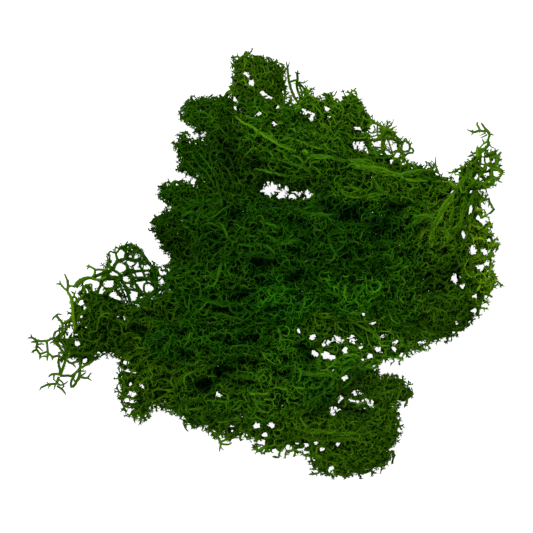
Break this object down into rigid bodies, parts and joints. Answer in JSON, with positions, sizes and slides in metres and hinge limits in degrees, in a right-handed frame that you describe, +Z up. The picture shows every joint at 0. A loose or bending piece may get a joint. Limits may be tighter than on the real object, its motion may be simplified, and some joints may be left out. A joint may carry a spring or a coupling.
{
  "type": "dyed reindeer lichen clump",
  "caption": "Loose clump of preserved, green-dyed reindeer lichen, sold as decorative moss: tangled cushions of fine forked branchlets, to lie on a surface as filler.",
  "frame": {"origin": "on the table, under the middle of the clump's plan", "axes": "+Z up from the table, +X to the right and +Y to the top of the clump seen from above, +X along its longest side"},
  "size_m": [0.095, 0.0868, 0.0214],
  "materials": {
    "deep_green": "matte",
    "mid_green": "matte",
    "lime_green": "matte"
  },
  "bodies": {
    "root": {"top_floret": "lime_green", "shoulder_head": "mid_green", "top_tuft": "lime_green", "rosette": "lime_green", "left_head_high": "mid_green", "left_head_middle": "mid_green", "left_head_low": "mid_green", "back_ridge": "deep_green", "upper_middle": "mid_green", "upper_right_arm": "lime_green", "right_fan": "lime_green", "upper_right_tuft": "lime_green", "right_margin": "lime_green", "right_body": "mid_green", "middle_right": "deep_green", "centre_crown": "deep_green", "centre_stalks": "deep_green", "centre_mound": "deep_green", "centre_right_mound": "deep_green", "middle_band_left": "mid_green", "middle_band_right": "mid_green", "openwork": "lime_green", "left_flank": "deep_green", "left_middle": "mid_green", "left_body": "mid_green", "left_crown": "mid_green", "lower_left_band": "deep_green", "lower_left_lobe": "lime_green", "lower_middle_left": "mid_green", "lower_middle_right": "lime_green", "lower_centre": "mid_green", "dark_tuft": "deep_green", "bottom_fringe": "lime_green", "bottom_right_lobe": "lime_green", "left_sprig": "lime_green", "lower_left_sprig": "lime_green", "hooked_twig": "lime_green", "left_stem": "lime_green", "curled_stem": "lime_green", "upper_right_twig": "lime_green", "top_twigs": "lime_green", "bottom_twig": "lime_green"}
  },
  "joints": []
}
